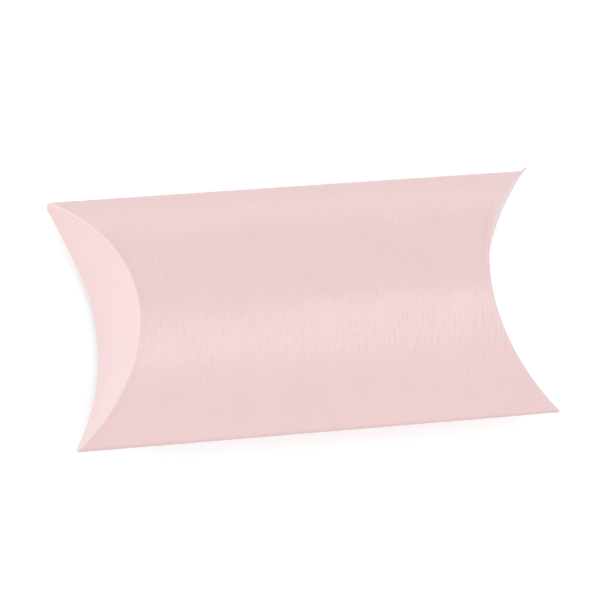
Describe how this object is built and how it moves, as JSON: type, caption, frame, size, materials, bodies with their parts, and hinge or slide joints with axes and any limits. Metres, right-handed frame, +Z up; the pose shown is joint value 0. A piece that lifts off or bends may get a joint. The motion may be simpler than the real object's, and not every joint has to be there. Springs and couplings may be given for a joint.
{
  "type": "pillow favor box",
  "caption": "Small pillow-shaped gift box of pearly pink board with crowned panels and curved end flaps that fold open.",
  "frame": {"origin": "middle of the flat strip of the back panel that the box rests on", "axes": "+X from the left end to the right end, along the side creases; +Y across the panels, from the plain side crease to the glued one; +Z up, out of the front panel"},
  "size_m": [0.1164, 0.0618, 0.0264],
  "materials": {
    "panel_board": "pearly pink embossed board, satin",
    "flap_board": "pearly pink embossed board, satin",
    "glue": "dried clear glue"
  },
  "bodies": {
    "case": {"front_panel": "panel_board", "back_panel": "panel_board", "glue_flap": "panel_board", "glue_line": "glue"},
    "left_outer_flap_middle": {"left_outer_flap_middle": "flap_board"},
    "left_outer_flap_near_shoulder": {"left_outer_flap_near_shoulder": "flap_board"},
    "left_outer_flap_near_wing": {"left_outer_flap_near_wing": "flap_board"},
    "left_outer_flap_near_tip": {"left_outer_flap_near_tip": "flap_board"},
    "left_outer_flap_far_shoulder": {"left_outer_flap_far_shoulder": "flap_board"},
    "left_outer_flap_far_wing": {"left_outer_flap_far_wing": "flap_board"},
    "left_outer_flap_far_tip": {"left_outer_flap_far_tip": "flap_board"},
    "left_inner_flap_middle": {"left_inner_flap_middle": "flap_board"},
    "left_inner_flap_near_shoulder": {"left_inner_flap_near_shoulder": "flap_board"},
    "left_inner_flap_near_wing": {"left_inner_flap_near_wing": "flap_board"},
    "left_inner_flap_near_tip": {"left_inner_flap_near_tip": "flap_board"},
    "left_inner_flap_far_shoulder": {"left_inner_flap_far_shoulder": "flap_board"},
    "left_inner_flap_far_wing": {"left_inner_flap_far_wing": "flap_board"},
    "left_inner_flap_far_tip": {"left_inner_flap_far_tip": "flap_board"},
    "right_outer_flap_middle": {"right_outer_flap_middle": "flap_board"},
    "right_outer_flap_near_shoulder": {"right_outer_flap_near_shoulder": "flap_board"},
    "right_outer_flap_near_wing": {"right_outer_flap_near_wing": "flap_board"},
    "right_outer_flap_near_tip": {"right_outer_flap_near_tip": "flap_board"},
    "right_outer_flap_far_shoulder": {"right_outer_flap_far_shoulder": "flap_board"},
    "right_outer_flap_far_wing": {"right_outer_flap_far_wing": "flap_board"},
    "right_outer_flap_far_tip": {"right_outer_flap_far_tip": "flap_board"},
    "right_inner_flap_middle": {"right_inner_flap_middle": "flap_board"},
    "right_inner_flap_near_shoulder": {"right_inner_flap_near_shoulder": "flap_board"},
    "right_inner_flap_near_wing": {"right_inner_flap_near_wing": "flap_board"},
    "right_inner_flap_near_tip": {"right_inner_flap_near_tip": "flap_board"},
    "right_inner_flap_far_shoulder": {"right_inner_flap_far_shoulder": "flap_board"},
    "right_inner_flap_far_wing": {"right_inner_flap_far_wing": "flap_board"},
    "right_inner_flap_far_tip": {"right_inner_flap_far_tip": "flap_board"}
  },
  "joints": [
    {"name": "left_end_opens", "type": "hinge", "parent": "case", "child": "left_outer_flap_middle", "pos_m": [-0.04354, 0, 0.02607], "axis": [0, 1, 0], "range_deg": [0, 76.13]},
    {"name": "left_outer_flap_near_shoulder_bends", "type": "hinge", "parent": "left_outer_flap_middle", "child": "left_outer_flap_near_shoulder", "pos_m": [-0.04368, -0.00439, 0.02596], "axis": [0.2397, 0, 0.9708], "range_deg": [0, 23.21]},
    {"name": "left_outer_flap_near_wing_bends", "type": "hinge", "parent": "left_outer_flap_near_shoulder", "child": "left_outer_flap_near_wing", "pos_m": [-0.04594, -0.013, 0.02419], "axis": [0.2397, 0, 0.9708], "range_deg": [0, 23.21]},
    {"name": "left_outer_flap_near_tip_bends", "type": "hinge", "parent": "left_outer_flap_near_wing", "child": "left_outer_flap_near_tip", "pos_m": [-0.05036, -0.02108, 0.02073], "axis": [0.2397, 0, 0.9708], "range_deg": [0, 25.33]},
    {"name": "left_outer_flap_far_shoulder_bends", "type": "hinge", "parent": "left_outer_flap_middle", "child": "left_outer_flap_far_shoulder", "pos_m": [-0.04368, 0.00439, 0.02596], "axis": [-0.2397, 0, -0.9708], "range_deg": [0, 23.21]},
    {"name": "left_outer_flap_far_wing_bends", "type": "hinge", "parent": "left_outer_flap_far_shoulder", "child": "left_outer_flap_far_wing", "pos_m": [-0.04594, 0.013, 0.02419], "axis": [-0.2397, 0, -0.9708], "range_deg": [0, 23.21]},
    {"name": "left_outer_flap_far_tip_bends", "type": "hinge", "parent": "left_outer_flap_far_wing", "child": "left_outer_flap_far_tip", "pos_m": [-0.05036, 0.02108, 0.02073], "axis": [-0.2397, 0, -0.9708], "range_deg": [0, 25.33]},
    {"name": "left_inner_flap_folds", "type": "hinge", "parent": "case", "child": "left_inner_flap_middle", "pos_m": [-0.04261, 0, 0.00027], "axis": [0, -1, 0], "range_deg": [0, 76.13]},
    {"name": "left_inner_flap_near_shoulder_bends", "type": "hinge", "parent": "left_inner_flap_middle", "child": "left_inner_flap_near_shoulder", "pos_m": [-0.04273, -0.00395, 0.00036], "axis": [-0.2397, 0, 0.9708], "range_deg": [0, 20.84]},
    {"name": "left_inner_flap_near_wing_bends", "type": "hinge", "parent": "left_inner_flap_near_shoulder", "child": "left_inner_flap_near_wing", "pos_m": [-0.04455, -0.01171, 0.00179], "axis": [-0.2397, 0, 0.9708], "range_deg": [0, 20.84]},
    {"name": "left_inner_flap_near_tip_bends", "type": "hinge", "parent": "left_inner_flap_near_wing", "child": "left_inner_flap_near_tip", "pos_m": [-0.04814, -0.01909, 0.0046], "axis": [-0.2397, 0, 0.9708], "range_deg": [0, 23.21]},
    {"name": "left_inner_flap_far_shoulder_bends", "type": "hinge", "parent": "left_inner_flap_middle", "child": "left_inner_flap_far_shoulder", "pos_m": [-0.04273, 0.00395, 0.00036], "axis": [0.2397, 0, -0.9708], "range_deg": [0, 20.84]},
    {"name": "left_inner_flap_far_wing_bends", "type": "hinge", "parent": "left_inner_flap_far_shoulder", "child": "left_inner_flap_far_wing", "pos_m": [-0.04455, 0.01171, 0.00179], "axis": [0.2397, 0, -0.9708], "range_deg": [0, 20.84]},
    {"name": "left_inner_flap_far_tip_bends", "type": "hinge", "parent": "left_inner_flap_far_wing", "child": "left_inner_flap_far_tip", "pos_m": [-0.04814, 0.01909, 0.0046], "axis": [0.2397, 0, -0.9708], "range_deg": [0, 23.21]},
    {"name": "right_end_opens", "type": "hinge", "parent": "case", "child": "right_outer_flap_middle", "pos_m": [0.04354, 0, 0.02607], "axis": [0, -1, 0], "range_deg": [0, 76.13]},
    {"name": "right_outer_flap_near_shoulder_bends", "type": "hinge", "parent": "right_outer_flap_middle", "child": "right_outer_flap_near_shoulder", "pos_m": [0.04368, -0.00439, 0.02596], "axis": [0.2397, 0, -0.9708], "range_deg": [0, 23.21]},
    {"name": "right_outer_flap_near_wing_bends", "type": "hinge", "parent": "right_outer_flap_near_shoulder", "child": "right_outer_flap_near_wing", "pos_m": [0.04594, -0.013, 0.02419], "axis": [0.2397, 0, -0.9708], "range_deg": [0, 23.21]},
    {"name": "right_outer_flap_near_tip_bends", "type": "hinge", "parent": "right_outer_flap_near_wing", "child": "right_outer_flap_near_tip", "pos_m": [0.05036, -0.02108, 0.02073], "axis": [0.2397, 0, -0.9708], "range_deg": [0, 25.33]},
    {"name": "right_outer_flap_far_shoulder_bends", "type": "hinge", "parent": "right_outer_flap_middle", "child": "right_outer_flap_far_shoulder", "pos_m": [0.04368, 0.00439, 0.02596], "axis": [-0.2397, 0, 0.9708], "range_deg": [0, 23.21]},
    {"name": "right_outer_flap_far_wing_bends", "type": "hinge", "parent": "right_outer_flap_far_shoulder", "child": "right_outer_flap_far_wing", "pos_m": [0.04594, 0.013, 0.02419], "axis": [-0.2397, 0, 0.9708], "range_deg": [0, 23.21]},
    {"name": "right_outer_flap_far_tip_bends", "type": "hinge", "parent": "right_outer_flap_far_wing", "child": "right_outer_flap_far_tip", "pos_m": [0.05036, 0.02108, 0.02073], "axis": [-0.2397, 0, 0.9708], "range_deg": [0, 25.33]},
    {"name": "right_inner_flap_folds", "type": "hinge", "parent": "case", "child": "right_inner_flap_middle", "pos_m": [0.04261, 0, 0.00027], "axis": [0, 1, 0], "range_deg": [0, 76.13]},
    {"name": "right_inner_flap_near_shoulder_bends", "type": "hinge", "parent": "right_inner_flap_middle", "child": "right_inner_flap_near_shoulder", "pos_m": [0.04273, -0.00395, 0.00036], "axis": [-0.2397, 0, -0.9708], "range_deg": [0, 20.84]},
    {"name": "right_inner_flap_near_wing_bends", "type": "hinge", "parent": "right_inner_flap_near_shoulder", "child": "right_inner_flap_near_wing", "pos_m": [0.04455, -0.01171, 0.00179], "axis": [-0.2397, 0, -0.9708], "range_deg": [0, 20.84]},
    {"name": "right_inner_flap_near_tip_bends", "type": "hinge", "parent": "right_inner_flap_near_wing", "child": "right_inner_flap_near_tip", "pos_m": [0.04814, -0.01909, 0.0046], "axis": [-0.2397, 0, -0.9708], "range_deg": [0, 23.21]},
    {"name": "right_inner_flap_far_shoulder_bends", "type": "hinge", "parent": "right_inner_flap_middle", "child": "right_inner_flap_far_shoulder", "pos_m": [0.04273, 0.00395, 0.00036], "axis": [0.2397, 0, 0.9708], "range_deg": [0, 20.84]},
    {"name": "right_inner_flap_far_wing_bends", "type": "hinge", "parent": "right_inner_flap_far_shoulder", "child": "right_inner_flap_far_wing", "pos_m": [0.04455, 0.01171, 0.00179], "axis": [0.2397, 0, 0.9708], "range_deg": [0, 20.84]},
    {"name": "right_inner_flap_far_tip_bends", "type": "hinge", "parent": "right_inner_flap_far_wing", "child": "right_inner_flap_far_tip", "pos_m": [0.04814, 0.01909, 0.0046], "axis": [0.2397, 0, 0.9708], "range_deg": [0, 23.21]}
  ],
  "couplings": [
    {"joint": "left_outer_flap_near_shoulder_bends", "follows": "left_end_opens", "ratio": 0.30485},
    {"joint": "left_outer_flap_near_wing_bends", "follows": "left_end_opens", "ratio": 0.30485},
    {"joint": "left_outer_flap_near_tip_bends", "follows": "left_end_opens", "ratio": 0.33267},
    {"joint": "left_outer_flap_far_shoulder_bends", "follows": "left_end_opens", "ratio": 0.30485},
    {"joint": "left_outer_flap_far_wing_bends", "follows": "left_end_opens", "ratio": 0.30485},
    {"joint": "left_outer_flap_far_tip_bends", "follows": "left_end_opens", "ratio": 0.33267},
    {"joint": "left_inner_flap_folds", "follows": "left_end_opens", "ratio": 1},
    {"joint": "left_inner_flap_near_shoulder_bends", "follows": "left_end_opens", "ratio": 0.27379},
    {"joint": "left_inner_flap_near_wing_bends", "follows": "left_end_opens", "ratio": 0.27379},
    {"joint": "left_inner_flap_near_tip_bends", "follows": "left_end_opens", "ratio": 0.30487},
    {"joint": "left_inner_flap_far_shoulder_bends", "follows": "left_end_opens", "ratio": 0.27379},
    {"joint": "left_inner_flap_far_wing_bends", "follows": "left_end_opens", "ratio": 0.27379},
    {"joint": "left_inner_flap_far_tip_bends", "follows": "left_end_opens", "ratio": 0.30487},
    {"joint": "right_outer_flap_near_shoulder_bends", "follows": "right_end_opens", "ratio": 0.30485},
    {"joint": "right_outer_flap_near_wing_bends", "follows": "right_end_opens", "ratio": 0.30485},
    {"joint": "right_outer_flap_near_tip_bends", "follows": "right_end_opens", "ratio": 0.33267},
    {"joint": "right_outer_flap_far_shoulder_bends", "follows": "right_end_opens", "ratio": 0.30485},
    {"joint": "right_outer_flap_far_wing_bends", "follows": "right_end_opens", "ratio": 0.30485},
    {"joint": "right_outer_flap_far_tip_bends", "follows": "right_end_opens", "ratio": 0.33267},
    {"joint": "right_inner_flap_folds", "follows": "right_end_opens", "ratio": 1},
    {"joint": "right_inner_flap_near_shoulder_bends", "follows": "right_end_opens", "ratio": 0.27379},
    {"joint": "right_inner_flap_near_wing_bends", "follows": "right_end_opens", "ratio": 0.27379},
    {"joint": "right_inner_flap_near_tip_bends", "follows": "right_end_opens", "ratio": 0.30487},
    {"joint": "right_inner_flap_far_shoulder_bends", "follows": "right_end_opens", "ratio": 0.27379},
    {"joint": "right_inner_flap_far_wing_bends", "follows": "right_end_opens", "ratio": 0.27379},
    {"joint": "right_inner_flap_far_tip_bends", "follows": "right_end_opens", "ratio": 0.30487}
  ]
}
